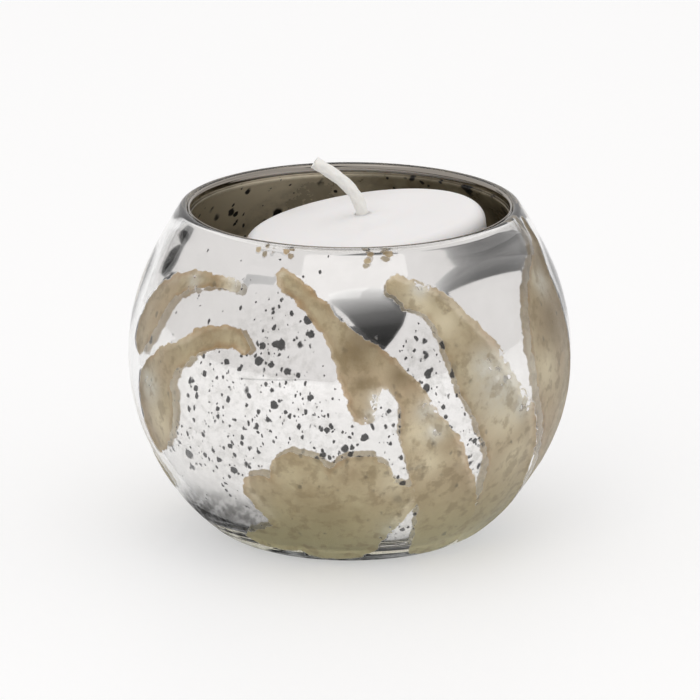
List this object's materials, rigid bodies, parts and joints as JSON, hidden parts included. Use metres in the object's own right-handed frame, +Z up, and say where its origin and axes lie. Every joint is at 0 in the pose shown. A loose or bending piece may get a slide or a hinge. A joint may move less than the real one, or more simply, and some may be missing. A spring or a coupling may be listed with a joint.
{
  "type": "tealight holder",
  "caption": "Round blown-glass candle holder with a narrowed mouth and flat base, silvered and lacquered inside, holding a loose leaning votive candle with a wick and metal tab.",
  "frame": {"origin": "centre of the base, on the surface that the bowl stands on", "axes": "+Z is up, along the axis of the bowl; the candle leans towards -X; -Y faces the viewer"},
  "size_m": [0.076, 0.076, 0.0657],
  "materials": {
    "glass": "clear, with acid-frosted cut decoration",
    "silver": "silvered mirror, speckled with age",
    "lacquer": "satin bronze-gold lacquer",
    "wax": "smooth white wax",
    "wick": "waxed cotton braid",
    "wick_paper": "matt",
    "tinplate": "bright tinplate"
  },
  "bodies": {
    "holder": {"glass_bowl": "glass", "silver_lining": "silver", "lacquer_coat": "lacquer"},
    "candle": {"candle_wax": "wax", "wick_sleeve": "wick", "wick_core": "wick_paper", "wick_sustainer": "tinplate"}
  },
  "joints": [
    {"name": "candle_lift", "type": "slide", "parent": "holder", "child": "candle", "axis": [-0.1305, 0, 0.9914], "range_m": [0, 0.065]}
  ]
}
